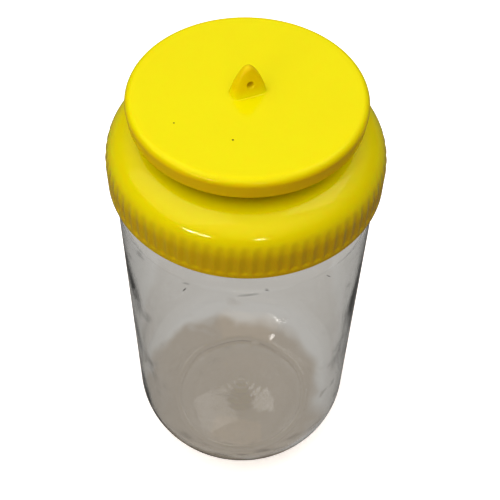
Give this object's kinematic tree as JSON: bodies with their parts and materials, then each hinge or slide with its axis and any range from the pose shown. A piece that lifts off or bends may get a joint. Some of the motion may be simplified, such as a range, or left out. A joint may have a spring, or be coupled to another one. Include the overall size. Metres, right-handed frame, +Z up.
{
  "type": "wasp trap",
  "caption": "Hanging wasp trap: clear screw-top jar, ribbed yellow screw lid with entry funnel, and a round yellow rain roof on legs with a hanging lug.",
  "frame": {"origin": "centre of the jar's standing ring, on the surface it stands on", "axes": "+Z up along the jar's axis, -Y towards the side the picture shows"},
  "size_m": [0.11, 0.11, 0.2302],
  "materials": {
    "clear_pet": "blow-moulded clear PET, glossy, faint grey tint",
    "seal_foam": "die-cut closed-cell foam, off-white, matt",
    "lid_yellow": "injection-moulded polypropylene, glossy lemon yellow",
    "funnel_yellow": "injection-moulded polypropylene, smooth yellow",
    "roof_yellow": "injection-moulded polypropylene, satin-gloss lemon yellow"
  },
  "bodies": {
    "jar": {"jar": "clear_pet"},
    "seal": {"lid_seal": "seal_foam"},
    "lid": {"screw_lid": "lid_yellow", "entry_funnel": "funnel_yellow"},
    "roof": {"rain_roof": "roof_yellow"}
  },
  "joints": [
    {"name": "lid_rise", "type": "slide", "parent": "jar", "child": "seal", "axis": [0, 0, 1], "range_m": [0, 0.0601]},
    {"name": "lid_turn", "type": "hinge", "parent": "seal", "child": "lid", "pos_m": [0, 0, 0.19], "axis": [0, 0, 1], "range_deg": [0, 1800]},
    {"name": "roof_lift", "type": "slide", "parent": "lid", "child": "roof", "axis": [0, 0, 1], "range_m": [0, 0.03]}
  ],
  "couplings": [
    {"joint": "lid_rise", "follows": "lid_turn", "m_per_rad": 0.0019099}
  ]
}
